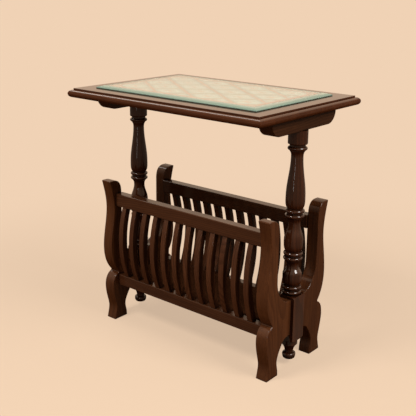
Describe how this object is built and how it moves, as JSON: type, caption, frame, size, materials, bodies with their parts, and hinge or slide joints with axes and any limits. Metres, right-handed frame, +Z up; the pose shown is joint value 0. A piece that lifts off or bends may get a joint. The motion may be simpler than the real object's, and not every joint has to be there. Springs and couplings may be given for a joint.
{
  "type": "magazine table",
  "caption": "Small side table with a bevelled glass plate on a moulded top, turned posts, lyre-shaped end frames and a slatted magazine rack between them.",
  "frame": {"origin": "on the floor, at the middle of the table", "axes": "+X along the table to its right end, +Y to the back, +Z up"},
  "size_m": [0.508, 0.354, 0.556],
  "materials": {
    "clear_glass": "clear, bevelled edge",
    "printed_panel": "thin board with a printed face",
    "top_wood": "dark walnut, glossy lacquer",
    "frame_wood": "dark walnut, glossy lacquer",
    "turned_wood": "turned dark walnut, glossy lacquer",
    "rack_wood": "dark walnut, satin lacquer",
    "dowel_wood": "bare beech",
    "screw_steel": "zinc plated"
  },
  "bodies": {
    "table": {"back_bottom_rail": "rack_wood", "back_slat_01": "rack_wood", "back_slat_02": "rack_wood", "back_slat_03": "rack_wood", "back_slat_04": "rack_wood", "back_slat_05": "rack_wood", "back_slat_06": "rack_wood", "back_slat_07": "rack_wood", "back_slat_08": "rack_wood", "back_slat_09": "rack_wood", "back_slat_10": "rack_wood", "back_slat_11": "rack_wood", "back_slat_12": "rack_wood", "back_top_rail": "rack_wood", "bearer_screws": "screw_steel", "frame_dowels": "dowel_wood", "front_bottom_rail": "rack_wood", "front_slat_01": "rack_wood", "front_slat_02": "rack_wood", "front_slat_03": "rack_wood", "front_slat_04": "rack_wood", "front_slat_05": "rack_wood", "front_slat_06": "rack_wood", "front_slat_07": "rack_wood", "front_slat_08": "rack_wood", "front_slat_09": "rack_wood", "front_slat_10": "rack_wood", "front_slat_11": "rack_wood", "front_slat_12": "rack_wood", "front_top_rail": "rack_wood", "left_back_lyre": "frame_wood", "left_bearer": "frame_wood", "left_front_lyre": "frame_wood", "left_post": "turned_wood", "picture_panel": "printed_panel", "rack_floor": "rack_wood", "rail_dowels": "dowel_wood", "right_back_lyre": "frame_wood", "right_bearer": "frame_wood", "right_front_lyre": "frame_wood", "right_post": "turned_wood", "table_top": "top_wood"},
    "glass": {"glass_top": "clear_glass"}
  },
  "joints": [
    {"name": "glass_lift", "type": "slide", "parent": "table", "child": "glass", "axis": [0, 0, 1], "range_m": [0, 0.15]}
  ]
}
